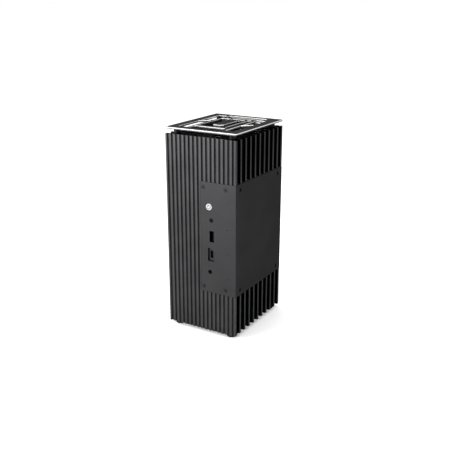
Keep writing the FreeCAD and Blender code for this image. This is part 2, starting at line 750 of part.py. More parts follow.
def memory_socket(y, module_x, arm_x):
    """Slotted bar with two latch arms; y is the slot's floor, module_x the module's lower face."""
    top = module_x + MODULE_THICKNESS + 1.4
    low, high = MEMORY_Z - 36.5, MEMORY_Z + 36.5
    bar = box(BOARD_FACE, top, y - 4, y + 4, low, high)
    arms = []
    for z0, z1 in ((low, low + 2.1), (high - 2.1, high)):
        arms.append(box(arm_x, top - 0.8, y + 4, y + 27, z0, z1))
    bar = bar.fuse(arms).removeSplitter()
    half = MODULE_LENGTH / 2 + 0.2
    slot_x = (module_x - 0.05, module_x + MODULE_THICKNESS + 0.05)
    return bar.cut(box(*slot_x, y, y + 5, MEMORY_Z - half, MEMORY_Z + half))


def memory_module(y, module_x):
    """Small circuit card with four memory chips on each face."""
    half = MODULE_LENGTH / 2
    x0, x1 = module_x, module_x + MODULE_THICKNESS
    card = slab_yz(rectangle(y + 0.05, y + MODULE_DEPTH, MEMORY_Z - half, MEMORY_Z + half, 0.5), x0, x1)
    chips = []
    for k in (-1.5, -0.5, 0.5, 1.5):
        z = MEMORY_Z + k * 15.5
        chips.append(box(x0 - 0.9, x1 + 0.9, y + 12, y + 24, z - 4.5, z + 4.5))
    return card.fuse(chips).removeSplitter()


# ---- storage module and the spare card socket ----
SSD_Z = 82.5
SSD_SOCKET_Y = -39.0
SSD_LENGTH = 60.0
CARD_WIDTH = 22.0
CARD_LOW = 14.6
CARD_HIGH = 15.4
SPARE_SOCKET_Y, SPARE_SOCKET_Z = 24.5, 131.0


def card_socket_bar():
    """Edge connector 6 mm deep, with its mouth towards +Y at y = 0, centred on z = 0."""
    bar = box(BOARD_FACE, 16.6, -3, 3, -CARD_WIDTH / 2, CARD_WIDTH / 2)
    return bar.cut(box(CARD_LOW - 0.05, CARD_HIGH + 0.05, 0, 4, -CARD_WIDTH / 2 + 1, CARD_WIDTH / 2 - 1))


def card_sockets():
    """The storage card's socket and the empty one for a small card."""
    places = ((SSD_SOCKET_Y, SSD_Z), (SPARE_SOCKET_Y, SPARE_SOCKET_Z))
    return group([card_socket_bar().translated(V(0, y, z)) for y, z in places])


def ssd_module():
    """Storage card with a controller and two memory chips; a half-round notch takes the screw."""
    y0, y1 = SSD_SOCKET_Y + 0.05, SSD_SOCKET_Y + SSD_LENGTH
    half = CARD_WIDTH / 2
    tongue = box(CARD_LOW, CARD_HIGH, y0, y0 + 4, SSD_Z - half + 1.1, SSD_Z + half - 1.1)
    card = box(CARD_LOW, CARD_HIGH, y0 + 3.2, y1, SSD_Z - half, SSD_Z + half)
    chips = [box(CARD_HIGH, CARD_HIGH + 1.1, y0 + 8, y0 + 20, SSD_Z - 6, SSD_Z + 6)]
    for start in (y0 + 24, y0 + 39):
        chips.append(box(CARD_HIGH, CARD_HIGH + 1.2, start, start + 12, SSD_Z - 8, SSD_Z + 8))
    card = card.fuse([tongue] + chips).removeSplitter()
    return card.cut(rod("x", (y1, SSD_Z), 1.75, CARD_LOW - 1, CARD_HIGH + 1))


def ssd_standoff():
    place = (SSD_SOCKET_Y + SSD_LENGTH, SSD_Z)
    pillar = rod("x", place, 2.7, BOARD_FACE, CARD_LOW)
    pillar = pillar.fuse(rod("x", place, 1.6, CARD_LOW, CARD_HIGH)).removeSplitter()
    return pillar.cut(rod("x", place, 1.05, BOARD_FACE + 0.6, CARD_HIGH + 1))


def ssd_screw():
    place = (SSD_SOCKET_Y + SSD_LENGTH, SSD_Z)
    shank = rod("x", place, 1.0, BOARD_FACE + 0.8, CARD_HIGH)
    return cap_head("x", place, CARD_HIGH, 1, radius=2.6, height=1.2, key=0.7).fuse(shank)


# ---- small parts on the board ----
CELL_Y, CELL_Z = 22.5, 108.5
CELL_RADIUS = 8.0


def coin_cell_holder():
    """Plastic tray whose ring is open on two sides so that the cell lifts out."""
    place = (CELL_Y, CELL_Z)
    tray = rod("x", place, CELL_RADIUS + 1.0, BOARD_FACE, BOARD_FACE + 2.8)
    tray = tray.cut(rod("x", place, CELL_RADIUS + 0.15, BOARD_FACE + 0.8, BOARD_FACE + 4))
    gap = box(BOARD_FACE + 0.8, BOARD_FACE + 4, CELL_Y - 3, CELL_Y + 3, CELL_Z - 12, CELL_Z + 12)
    return tray.cut(gap)


def coin_cell():
    """Steel can with its smaller contact cap facing the board."""
    place = (CELL_Y, CELL_Z)
    can = rod("x", place, CELL_RADIUS, BOARD_FACE + 1.2, BOARD_FACE + 4.0)
    edge = [e for e in can.Edges if all(v.Point.x > BOARD_FACE + 3.9 for v in e.Vertexes)]
    can = can.makeFillet(0.4, edge)
    return can.fuse(rod("x", place, CELL_RADIUS - 1.6, BOARD_FACE + 0.8, BOARD_FACE + 1.2)).removeSplitter()


def power_inductors():
    """Row of moulded power chokes along the board's front edge."""
    chokes = []
    for k in range(4):
        z = 137.0 + 9.0 * k
        block = box(BOARD_FACE, BOARD_FACE + 4.0, -43.5, -36.5, z - 3.5, z + 3.5)
        upright = [e for e in block.Edges if e.BoundBox.XLength > 3.9]
        chokes.append(block.makeChamfer(0.8, upright))
    return group(chokes)


def capacitors():
    """Row of polymer capacitors above the memory sockets."""
    cans = []
    for k in range(4):
        can = rod("x", (-28.0 + 8.0 * k, 171.0), 2.5, BOARD_FACE, BOARD_FACE + 5.8)
        top = [e for e in can.Edges if all(v.Point.x > BOARD_FACE + 5.7 for v in e.Vertexes)]
        cans.append(can.makeFillet(0.3, top))
    return group(cans)


def controller_chips():
    places = ((-40.0, 112.0, 4.0), (-6.0, 108.0, 5.0), (-6.0, 140.0, 6.0))
    return group([box(BOARD_FACE, BOARD_FACE + 0.9, y - h, y + h, z - h, z + h) for y, z, h in places])


# ---- front sockets and sensors ----
def shell_xz(corners_out, corners_in, mouth, back, wall):
    """Closed-back shell along Y: the outer outline minus the inner one, leaving a wall at the back."""
    way = 1 if back > mouth else -1
    outer = slab_xz(corners_out, *sorted((mouth, back)))
    inner = slab_xz(corners_in, *sorted((mouth - way, back - way * wall)))
    return outer.cut(inner)


def front_usb_a_shell():
    outer = port_outline(USB_A_X, USB_A_Z, USB_A_HALF, 0.5)
    inner = port_outline(USB_A_X, USB_A_Z, USB_A_HALF, 0.3, -SHELL_WALL)
    return shell_xz(outer, inner, -HALF_D + NOSE_INSET, -42.6, SHELL_WALL)


def front_usb_a_tongue():
    """Plastic tongue with its block at the back of the shell."""
    x, z, back = USB_A_X, USB_A_Z, -42.9
    tongue = box(x + 0.1, x + 2.0, back - 11.5, back, z - 5.6, z + 5.6)
    block = slab_xz(port_outline(x, z, USB_A_HALF, 0.3, -SHELL_WALL), back - 2.6, back)
    return tongue.fuse(block).removeSplitter()


def front_usb_c_shell():
    outer = port_outline(USB_C_X, USB_C_Z, USB_C_HALF, 1.62)
    inner = port_outline(USB_C_X, USB_C_Z, USB_C_HALF, 1.32, -SHELL_WALL)
    mouth = -HALF_D + USB_C_RECESS_DEPTH + NOSE_INSET
    return shell_xz(outer, inner, mouth, -46.5, SHELL_WALL)


def front_usb_c_tongue():
    x, z, back = USB_C_X, USB_C_Z, -46.8
    tongue = box(x - 0.35, x + 0.35, back - 6.4, back, z - 3.35, z + 3.35)
    block = slab_xz(port_outline(x, z, USB_C_HALF, 1.32, -SHELL_WALL), back - 1.5, back)
    return tongue.fuse(block).removeSplitter()


def audio_jack():
    """Jack body sunk in a notch of the board, with its nose in the panel and a closed bore."""
    x, z = centre = (AUDIO_X, AUDIO_Z)
    body = box(x - 2.7, x + 2.7, -HALF_D + PLATE_THICKNESS + 0.05, AUDIO_BACK, z - 2.6, z + 2.6)
    nose = rod("y", centre, AUDIO_NOSE, -HALF_D + NOSE_INSET, -HALF_D + PLATE_THICKNESS + 0.5)
    bore = rod("y", centre, 1.8, -HALF_D - 1, AUDIO_BACK - 0.6)
    return body.fuse(nose).removeSplitter().cut(bore)


def infrared_window():
    """Dark lens with a shallow dome, held by its flange behind the panel."""
    centre = (INFRARED_X, INFRARED_Z)
    lens = rod("y", centre, INFRARED_RADIUS, -HALF_D + 0.1, -HALF_D + PLATE_THICKNESS + 0.7)
    front = [e for e in lens.Edges if all(v.Point.y < -HALF_D + 0.2 for v in e.Vertexes)]
    lens = lens.makeFillet(0.5, front)
    flange = rod("y", centre, 2.9, -HALF_D + PLATE_THICKNESS, -HALF_D + PLATE_THICKNESS + 0.7)
    return lens.fuse(flange).removeSplitter()


def infrared_receiver():
    x, z = INFRARED_X, INFRARED_Z
    return box(BOARD_FACE, x + 2.3, -53.45, -49.5, z - 2.6, z + 2.6)


def microphone():
    """Small sealed capsule on the board's edge, with its port behind the pin hole."""
    x, z = centre = (MIC_X, MIC_Z)
    body = box(x - 2, x + 2, -HALF_D + PLATE_THICKNESS, -BOARD_SIZE / 2, z - 1.6, z + 1.6)
    return body.cut(rod("y", centre, PIN_HOLE, -HALF_D, -HALF_D + PLATE_THICKNESS + 1.2))


# ---- rear sockets ----
REAR_MOUTH = HALF_D - NOSE_INSET
FRONT_OF_DC = 42.0
FRONT_OF_SCREEN = 43.5
FRONT_OF_VIDEO = 36.5
FRONT_OF_LAN = 33.5
FRONT_OF_REAR_USB = 39.7


def dc_jack():
    """Barrel inlet: a moulded body, a round nose in the panel, and a centre pin in the bore."""
    x, z = centre = (DC_X, DC_Z)
    body = box(BOARD_FACE, x + 5, FRONT_OF_DC, HALF_D - PLATE_THICKNESS, z - 4.6, z + 4.6)
    nose = rod("y", centre, DC_NOSE, HALF_D - PLATE_THICKNESS - 0.5, REAR_MOUTH)
    bore = rod("y", centre, 2.9, FRONT_OF_DC + 3, HALF_D + 1)
    pin = rod("y", centre, 1.0, FRONT_OF_DC + 2.5, REAR_MOUTH - 1.5)
    return body.fuse(nose).removeSplitter().cut(bore).fuse(pin)


def screen_outline(grow):
    """Socket outline with the two slanted corners on its +X side."""
    x0, x1 = SCREEN_X - 2.75 - grow, SCREEN_X + 2.75 + grow
    z0, z1 = SCREEN_Z - 7.5 - grow, SCREEN_Z + 7.5 + grow
    return [(x0, z0, 0.3), (x1 - 2.0, z0, 0.3), (x1, z0 + 2.0, 0.3)] + [
        (x1, z1 - 2.0, 0.3),
        (x1 - 2.0, z1, 0.3),
        (x0, z1, 0.3),
    ]


def video_outline(grow):
    """Socket outline with one slanted corner."""
    x0, x1 = VIDEO_X - 2.75 - grow, VIDEO_X + 2.75 + grow
    z0, z1 = VIDEO_Z - 8.2 - grow, VIDEO_Z + 8.2 + grow
    return [(x0, z0, 0.3), (x1 - 2.2, z0, 0.3), (x1, z0 + 2.2, 0.3), (x1, z1, 0.3), (x0, z1, 0.3)]


def tongued_socket(outline, x, z, front, half_z):
    """Bent steel shell with a contact tongue that stands from its back wall."""
    shell = shell_xz(outline(0), outline(-0.4), REAR_MOUTH, front, 1.5)
    tongue = box(x - 0.6, x + 0.6, front + 1.4, REAR_MOUTH - 2.0, z - half_z, z + half_z)
    return shell.fuse(tongue)


def screen_socket():
    return tongued_socket(screen_outline, SCREEN_X, SCREEN_Z, FRONT_OF_SCREEN, 5.6)


def video_socket():
    return tongued_socket(video_outline, VIDEO_X, VIDEO_Z, FRONT_OF_VIDEO, 6.2)


def lan_socket():
    """Shielded eight-way socket; the opening has a narrower keyway on its +X side."""
    x, z = LAN_X, LAN_Z
    body = slab_xz(port_outline(x, z, LAN_HALF, 0.3), FRONT_OF_LAN, REAR_MOUTH)
    cavity = box(x - 4.0, x + 2.9, FRONT_OF_LAN + 8, HALF_D + 1, z - 5.9, z + 5.9)
    keyway = box(x + 2.9, x + 4.3, FRONT_OF_LAN + 8, HALF_D + 1, z - 3.1, z + 3.1)
    catch = box(x + 4.3, x + 5.6, FRONT_OF_LAN + 8, HALF_D + 1, z - 1.7, z + 1.7)
    return body.cut(group([cavity, keyway, catch]))


def rear_usb_socket():
    """Two USB-A ports side by side in one shell, each with its tongue."""
    x, z, front = REAR_USB_X, REAR_USB_Z, FRONT_OF_REAR_USB
    body = slab_xz(port_outline(x, z, REAR_USB_HALF, 0.5), front, REAR_MOUTH)
    mouths = []
    tongues = []
    for side in (-1, 1):
        middle = x + side * 4.0
        mouths.append(box(middle - 2.5, middle + 2.5, front + 2.6, HALF_D + 1, z - 6.25, z + 6.25))
        tongues.append(box(middle + 0.1, middle + 2.0, front + 2.5, REAR_MOUTH - 1.5, z - 5.6, z + 5.6))
    return body.cut(group(mouths)).fuse(tongues)


def antenna_plugs():
    """Blanking plugs pressed into the two unused antenna holes."""
    plugs = []
    for z in ANTENNA_Z:
        place = (ANTENNA_X, z)
        head = rod("y", place, PLUG_HEAD, HALF_D - PLUG_SEAT, HALF_D - 0.1)
        stem = rod("y", place, PLUG_STEM, HALF_D - PLATE_THICKNESS - 1.5, HALF_D - PLUG_SEAT)
        plugs.append(head.fuse(stem).removeSplitter())
    return group(plugs)


# ---- the whole object ----
def all_parts():
    parts = {
        "left_heatsink": left_heatsink(),
        "upper_heatsink": right_heatsink(BAY_HIGH, BODY_HIGH),
        "lower_heatsink": right_heatsink(BODY_LOW, BAY_LOW),
        "block_screws": block_screws(),
        "top_grille": top_grille(),
        "grille_posts": grille_posts(),
        "foot_screws": foot_screws(),
        "front_panel": front_io_plate(),
        "rear_panel": rear_io_plate(),
        "side_cover": side_cover(),
        "panel_screws": panel_screws(),
        "lower_bay_tray": bay_tray(BAY_LOW, 1),
        "upper_bay_tray": bay_tray(BAY_HIGH, -1),
        "tray_screws": tray_screws(),
        "processor_block": cpu_block(),
        "processor_block_screws": cpu_block_screws(),
        "thermal_pad": thermal_pad(),
        "processor": cpu_package(),
        "motherboard": motherboard(),
        "board_standoffs": board_standoffs(),
        "board_screws": board_screws(),
        "memory_socket_low": memory_socket(LOW_MEMORY_Y, LOW_MEMORY_X, BOARD_FACE),
        "memory_socket_high": memory_socket(HIGH_MEMORY_Y, HIGH_MEMORY_X, 18.0),
        "memory_module_low": memory_module(LOW_MEMORY_Y, LOW_MEMORY_X),
        "memory_module_high": memory_module(HIGH_MEMORY_Y, HIGH_MEMORY_X),
        "card_sockets": card_sockets(),
        "ssd_module": ssd_module(),
        "ssd_standoff": ssd_standoff(),
        "ssd_screw": ssd_screw(),
        "coin_cell_holder": coin_cell_holder(),
        "coin_cell": coin_cell(),
        "power_inductors": power_inductors(),
        "capacitors": capacitors(),
        "controller_chips": controller_chips(),
        "front_usb_a_shell": front_usb_a_shell(),
        "front_usb_a_tongue": front_usb_a_tongue(),
        "front_usb_c_shell": front_usb_c_shell(),
        "front_usb_c_tongue": front_usb_c_tongue(),
        "audio_jack": audio_jack(),
        "infrared_window": infrared_window(),
        "infrared_receiver": infrared_receiver(),
        "microphone": microphone(),
        "power_button": power_button(),
        "button_spring": button_spring(),
        "power_switch": power_switch(),
        "switch_plunger": switch_plunger(),
        "dc_jack": dc_jack(),
        "screen_socket": screen_socket(),
        "video_socket": video_socket(),
        "lan_socket": lan_socket(),
        "rear_usb_socket": rear_usb_socket(),
        "antenna_plugs": antenna_plugs(),
    }
    names = ("foot_front_left", "foot_rear_left", "foot_front_right", "foot_rear_right")
    for name, place in zip(names, corner_places()):
        parts[name] = foot(place)
    for k, y in enumerate(pipe_places()):
        parts[f"heat_pipe_{k + 1}"] = heat_pipe(y)
    return parts


os.makedirs("parts", exist_ok=True)
for node, shape in all_parts().items():
    if not shape.isValid() or shape.Volume <= 0:
        raise ValueError(f"{node} isn't a valid solid")
    shape.exportStep(f"parts/{node}.step")
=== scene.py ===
import math

import bmesh
import bpy
from mathutils import Matrix, Vector


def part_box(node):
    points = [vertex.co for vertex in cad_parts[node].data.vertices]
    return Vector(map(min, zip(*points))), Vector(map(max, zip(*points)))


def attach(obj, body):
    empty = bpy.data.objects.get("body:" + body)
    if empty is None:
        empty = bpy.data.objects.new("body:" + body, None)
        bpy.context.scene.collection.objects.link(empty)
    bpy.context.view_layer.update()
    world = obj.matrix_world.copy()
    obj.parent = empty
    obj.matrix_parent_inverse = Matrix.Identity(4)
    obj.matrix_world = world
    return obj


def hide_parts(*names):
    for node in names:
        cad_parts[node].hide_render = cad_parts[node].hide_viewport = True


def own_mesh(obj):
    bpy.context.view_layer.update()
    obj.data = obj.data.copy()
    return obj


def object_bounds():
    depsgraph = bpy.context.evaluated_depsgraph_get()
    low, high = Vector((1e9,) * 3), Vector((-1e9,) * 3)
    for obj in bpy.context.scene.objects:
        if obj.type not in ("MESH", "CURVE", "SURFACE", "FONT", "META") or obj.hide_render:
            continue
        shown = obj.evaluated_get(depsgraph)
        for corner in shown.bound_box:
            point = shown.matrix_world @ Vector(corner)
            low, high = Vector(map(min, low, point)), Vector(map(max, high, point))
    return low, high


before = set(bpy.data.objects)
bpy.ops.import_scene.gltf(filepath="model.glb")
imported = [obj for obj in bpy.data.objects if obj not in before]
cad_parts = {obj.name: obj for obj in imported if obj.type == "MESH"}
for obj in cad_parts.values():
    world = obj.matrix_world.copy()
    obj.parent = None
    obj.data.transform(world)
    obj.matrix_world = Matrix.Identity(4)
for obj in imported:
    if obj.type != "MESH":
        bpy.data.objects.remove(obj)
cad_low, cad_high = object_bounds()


# ---- Finned body: three black anodised aluminium extrusions ----
# One tall half and two short blocks are sawn from one profile, and their outsides are bead blasted.
# Faces set back from the outside, in the gaps between the fins and the grooves, are coloured near black:
# painted shade.
MM = 0.001
GAP_SHADE_DEPTH = {"X": 1.1 * MM, "Y": 2.6 * MM}
GAP_SHADE_CLEAR = 0.35 * MM


def linear(hex_colour):
    """Linear RGBA from an sRGB hex string."""
    values = [int(hex_colour[i : i + 2], 16) / 255 for i in (0, 2, 4)]
    return [v / 12.92 if v <= 0.04045 else ((v + 0.055) / 1.055) ** 2.4 for v in values] + [1.0]


def add(tree, kind, links=(), **settings):
    """One shader node with its settings; links are (input, source node, output) on it."""
    node = tree.nodes.new("ShaderNode" + kind)
    for name, value in settings.items():
        if name.startswith("in_"):
            key = name[3:]
            socket = node.inputs[int(key)] if key.isdigit() else node.inputs[key.replace("_", " ")]
            socket.default_value = value
        else:
            setattr(node, name, value)
    for target, source, output in links:
        tree.links.new(node.inputs[target], source.outputs[output])
    return node


def start_material(name, **surface):
    """A new material with its shader and its texture coordinates; surface sets the shader's own sockets."""
    material = bpy.data.materials.new(name)
    material.use_nodes = True
    tree = material.node_tree
    shader = tree.nodes["Principled BSDF"]
    for key, value in surface.items():
        shader.inputs[key.replace("_", " ")].default_value = value
    return material, tree, shader, add(tree, "TexCoord")


def colour_between(tree, source, output, dark, light, spread=(0.35, 0.65)):
    """Colours from dark to light along a value; returns the node."""
    ramp = add(tree, "ValToRGB", [("Fac", source, output)])
    for element, position, colour in zip(ramp.color_ramp.elements, spread, (dark, light)):
        element.position = position
        element.color = linear(colour)
    return ramp


def join_links(tree, shader, **sources):
    """Links node outputs to the shader's sockets: Socket=(node, output)."""
    for key, (node, output) in sources.items():
        tree.links.new(node.outputs[output], shader.inputs[key.replace("_", " ")])


def finish(name, dark, light, grain_mm, roughness, relief_mm=0.01, stretch=(1, 1, 1), **surface):
    """A surface with grain: one noise, grain_mm across, sets its tone, its gloss and its relief."""
    material, tree, shader, place = start_material(name, **surface)
    spread = add(tree, "Mapping", [("Vector", place, "Object")], in_Scale=stretch)
    grain = add(tree, "TexNoise", [("Vector", spread, "Vector")], in_Scale=1 / (grain_mm * MM), in_Detail=3.0)
    tone = colour_between(tree, grain, "Fac", dark, light)
    gloss = add(tree, "MapRange", [("Value", grain, "Fac")], in_3=roughness - 0.06, in_4=roughness + 0.06)
    bump = add(tree, "Bump", [("Height", grain, "Fac")], in_Strength=0.4, in_Distance=relief_mm * MM)
    join_links(tree, shader, Base_Color=(tone, "Color"), Roughness=(gloss, "Result"), Normal=(bump, "Normal"))
    return material


def dress(material, *nodes):
    """Gives CAD nodes a material."""
    for name in nodes:
        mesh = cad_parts[name].data
        mesh.materials.clear()
        mesh.materials.append(material)


fin_metal, tree, shader, place = start_material(
    "black_anodised_extrusion", Metallic=1.0, Specular_Tint=linear("a0a0a0"),
)
axes = add(tree, "SeparateXYZ", [("Vector", place, "Object")])
skins = []
for axis, limit in (("X", cad_high.x), ("Y", cad_high.y)):
    away = add(tree, "Math", [(0, axes, axis)], operation="ABSOLUTE")
    reach = {"in_1": limit - GAP_SHADE_DEPTH[axis], "in_2": limit - GAP_SHADE_CLEAR}
    skins.append(add(tree, "MapRange", [("Value", away, "Value")], **reach))
skin = add(tree, "Math", [(0, skins[0], "Result"), (1, skins[1], "Result")], operation="MAXIMUM")
cloud = add(tree, "TexNoise", [("Vector", place, "Object")], in_Scale=1 / (30 * MM), in_Detail=3.0)
outer_face_tone = colour_between(tree, cloud, "Fac", "39393a", "3f3f40")
# Near-black tone for faces set back from the outside: painted shade in the fin gaps and grooves.
painted_gap_shade = colour_between(tree, cloud, "Fac", "070707", "0c0c0c")
tone = add(tree, "Mix", [(0, skin, "Value"), (6, painted_gap_shade, "Color"), (7, outer_face_tone, "Color")], data_type="RGBA")
drawn = add(tree, "Mapping", [("Vector", place, "Object")], in_Scale=(1, 1, 0.02))
die_lines = add(tree, "TexNoise", [("Vector", drawn, "Vector")], in_Scale=1 / (0.9 * MM), in_Detail=2.0)
bead = add(tree, "TexNoise", [("Vector", place, "Object")], in_Scale=1 / (0.35 * MM), in_Detail=2.0)
relief = add(tree, "Math", [(0, die_lines, "Fac"), (1, bead, "Fac")], operation="ADD")
bump = add(tree, "Bump", [("Height", relief, "Value")], in_Strength=0.2, in_Distance=0.03 * MM)
gloss = add(tree, "MapRange", [("Value", bead, "Fac")], in_3=0.40, in_4=0.50)
join_links(tree, shader, Base_Color=(tone, 2), Roughness=(gloss, "Result"), Normal=(bump, "Normal"))
dress(fin_metal, "left_heatsink", "upper_heatsink", "lower_heatsink")


# ---- Screws that clamp the blocks and the trays, and the grille's posts ----
# Turned and socketed in steel, then blackened in a hot oxide bath, which leaves a faint oily mottle. The
# clamp screws join the two blocks to the tall half, and the posts hold the grille clear of the fins.
black_steel = finish(
    "black_oxide_steel", "111112", "1e1e1f", grain_mm=0.6, roughness=0.45,
    Metallic=0.7, Specular_IOR_Level=0.3,
)
dress(black_steel, "block_screws", "tray_screws", "grille_posts", "foot_screws")


# ---- Heat pipes ----
# Four drawn copper tubes in the channels between the heatsinks; drawing leaves lines along them,
# and soldering heat leaves brown and rosy clouds.
pipe_metal, tree, shader, place = start_material("drawn_copper", Metallic=1.0)
drawn = add(tree, "Mapping", [("Vector", place, "Object")], in_Scale=(1, 1, 0.03))
lines = add(tree, "TexNoise", [("Vector", drawn, "Vector")], in_Scale=1 / (0.4 * MM), in_Detail=2.0)
heat = add(tree, "TexNoise", [("Vector", place, "Object")], in_Scale=1 / (18 * MM), in_Detail=2.0)
tone = colour_between(tree, heat, "Fac", "a55f41", "dc9673")
gloss = add(tree, "MapRange", [("Value", lines, "Fac")], in_3=0.22, in_4=0.38)
bump = add(tree, "Bump", [("Height", lines, "Fac")], in_Strength=0.3, in_Distance=0.02 * MM)
join_links(tree, shader, Base_Color=(tone, "Color"), Roughness=(gloss, "Result"), Normal=(bump, "Normal"))
dress(pipe_metal, *[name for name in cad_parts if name.startswith("heat_pipe_")])


# ---- Processor, its contact block and the compound between them ----
# The block is milled from bare aluminium, so fly-cutter marks cross its face. A grey compound squeezes out
# between it and the silicon die, which stands on a green glass-fibre carrier.
milled = finish(
    "fly_cut_aluminium", "b5b6b8", "d6d7d8", grain_mm=0.5, roughness=0.32, stretch=(1, 1, 0.08), Metallic=1.0,
)
dress(milled, "processor_block")
compound = finish("grey_thermal_compound", "7d7f80", "9a9c9d", grain_mm=0.3, roughness=0.65, relief_mm=0.04)
dress(compound, "thermal_pad")
package, tree, shader, place = start_material("die_on_green_carrier", Roughness=0.3)
die_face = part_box("processor")[0].x
DIE_HEIGHT = 0.8 * MM
axes = add(tree, "SeparateXYZ", [("Vector", place, "Object")])
reach = {"in_1": die_face + DIE_HEIGHT - 0.05 * MM, "in_2": die_face + DIE_HEIGHT}
carrier = add(tree, "MapRange", [("Value", axes, "X")], **reach)
weave = add(tree, "TexNoise", [("Vector", place, "Object")], in_Scale=1 / (0.4 * MM))
green = colour_between(tree, weave, "Fac", "12361f", "1b4a2c")
silicon = colour_between(tree, weave, "Fac", "5a5e66", "6f747c")
tone = add(
    tree, "Mix", [(0, carrier, "Result"), (6, silicon, "Color"), (7, green, "Color")], data_type="RGBA",
)
gloss = add(tree, "MapRange", [("Value", carrier, "Result")], in_3=0.12, in_4=0.4)
join_links(tree, shader, Base_Color=(tone, 2), Roughness=(gloss, "Result"))
dress(package, "processor")


# ---- Bay trays ----
# Two trays folded from zinc-coated sheet steel close the fin blocks' ends, and the bay panels screw into
# their skirts. The coating shows its crystal spangle, a few millimetres across.
spangled, tree, shader, place = start_material("spangled_zinc_sheet", Metallic=1.0)
crystal = add(tree, "TexVoronoi", [("Vector", place, "Object")], in_Scale=1 / (4 * MM))
shade = add(tree, "SeparateColor", [("Color", crystal, "Color")])
tone = colour_between(tree, shade, "Red", "8f9396", "b9bdc0", (0.0, 1.0))
gloss = add(tree, "MapRange", [("Value", shade, "Green")], in_3=0.3, in_4=0.5)
join_links(tree, shader, Base_Color=(tone, "Color"), Roughness=(gloss, "Result"))
dress(spangled, "lower_bay_tray", "upper_bay_tray")


# ---- Bright screws, spacers and the storage card's pillar ----
# Zinc-plated steel screws have a cool, slightly clouded shine. The hexagonal spacers and the card's pillar
# are turned from brass and nickel plated, so they look warmer.
zinc = finish("zinc_plated_steel", "a9adb2", "ccd0d4", grain_mm=0.5, roughness=0.3, Metallic=1.0)
dress(zinc, "processor_block_screws", "board_screws", "ssd_screw")
nickel = finish(
    "nickel_plated_brass", "b8b2a6", "d8d3c8", grain_mm=0.3, roughness=0.24, stretch=(8, 1, 1), Metallic=1.0,
)
dress(nickel, "board_standoffs", "ssd_standoff")


# ---- Motherboard ----
# Glass-fibre laminate under black solder mask. Copper tracks show through the mask as slightly raised,
# slightly lighter lines, on a 2.5 mm grid of runs, with small gilded vias between them.
laminate, tree, shader, place = start_material("black_solder_mask", Roughness=0.35, Coat_Weight=0.2)
TRACK_PITCH = 2.5 * MM
swap_axes = add(tree, "SeparateXYZ", [("Vector", place, "Object")])
plane = add(tree, "CombineXYZ", [("X", swap_axes, "Z"), ("Y", swap_axes, "Y")])
tracks = add(
    tree, "TexBrick", [("Vector", plane, "Vector")], in_Scale=1.0, in_Mortar_Size=0.18 * MM,
    in_Brick_Width=9 * TRACK_PITCH, in_Row_Height=TRACK_PITCH / 2, in_Mortar_Smooth=0.1,
)
vias = add(tree, "TexVoronoi", [("Vector", plane, "Vector")], in_Scale=1 / (3 * MM))
via = add(tree, "MapRange", [("Value", vias, "Distance")], in_1=0.08, in_2=0.1, in_3=1.0, in_4=0.0)
mask_tone = colour_between(tree, tracks, "Fac", "0d1411", "1d2a24", (0.0, 1.0))
gold_tone = add(
    tree, "Mix", [(0, via, "Result"), (6, mask_tone, "Color")], data_type="RGBA", in_7=linear("c8a24a"),
)
bump = add(tree, "Bump", [("Height", tracks, "Fac")], in_Strength=0.5, in_Distance=0.03 * MM)
join_links(tree, shader, Base_Color=(gold_tone, 2), Metallic=(via, "Result"), Normal=(bump, "Normal"))
dress(laminate, "motherboard")


# ---- Small parts soldered to the motherboard ----
# Chip capacitors, fired from tan ceramic. They are soldered flat to the board in three rows above the
# controllers.
CHIP = Vector((0.5, 1.6, 0.8)) * MM
CHIP_PITCH = 2.2 * MM
CHIP_INSET = 2 * MM
ROW_PITCH = 2.5 * MM


def finished_piece(name, bm, material):
    """The piece that a bmesh has shaped, in its material; it is fixed to the chassis."""
    mesh = bpy.data.meshes.new(name)
    bm.to_mesh(mesh)
    bm.free()
    mesh.materials.append(material)
    piece = bpy.data.objects.new(name, mesh)
    bpy.context.scene.collection.objects.link(piece)
    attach(piece, "chassis")
    return piece


def blocks(name, places, size, softness, material):
    """One piece made of like blocks with softened edges, each centred on its place."""
    bm = bmesh.new()
    for spot in places:
        stretch = Matrix.Diagonal((size[0], size[1], size[2], 1.0))
        bmesh.ops.create_cube(bm, size=1.0, matrix=Matrix.Translation(spot) @ stretch)
    bmesh.ops.bevel(
        bm, geom=bm.edges[:], offset=softness, segments=1, profile=0.5, affect="EDGES", material=-1,
    )
    finished_piece(name, bm, material)


ceramic = finish("tan_chip_ceramic", "8d6f4c", "a98a63", grain_mm=0.2, roughness=0.5)
board_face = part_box("motherboard")[1].x
chips_low, chips_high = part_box("controller_chips")
rows = []
for row in range(3):
    for k in range(9):
        y = chips_low.y + CHIP_INSET + k * CHIP_PITCH
        z = chips_high.z + (row + 1) * ROW_PITCH
        rows.append(Vector((board_face + CHIP.x / 2, y, z)))
blocks("board_chip_capacitors", rows, CHIP, 0.08 * MM, ceramic)


# ---- Sockets and holders on the board ----
# Injection moulded, glass-filled black polymer: satin, with pale glass flecks under a tenth of a millimetre
# that are drawn coarser here so that they show.
glass_filled = finish(
    "glass_filled_polymer", "141415", "242426", grain_mm=0.35, roughness=0.48, relief_mm=0.015,
)
dress(glass_filled, "memory_socket_low", "memory_socket_high", "card_sockets", "coin_cell_holder")


# ---- Memory modules and the storage card ----
# Thin green cards with black epoxy chips on them. The card and the chips are told apart by their height
# over the board, and the contact edge is gilded.
FINGER_PITCH = 0.5 * MM
FINGER_LENGTH = 2.5 * MM
MODULE_CHIP = 0.9 * MM
STORAGE_CARD = 0.8 * MM


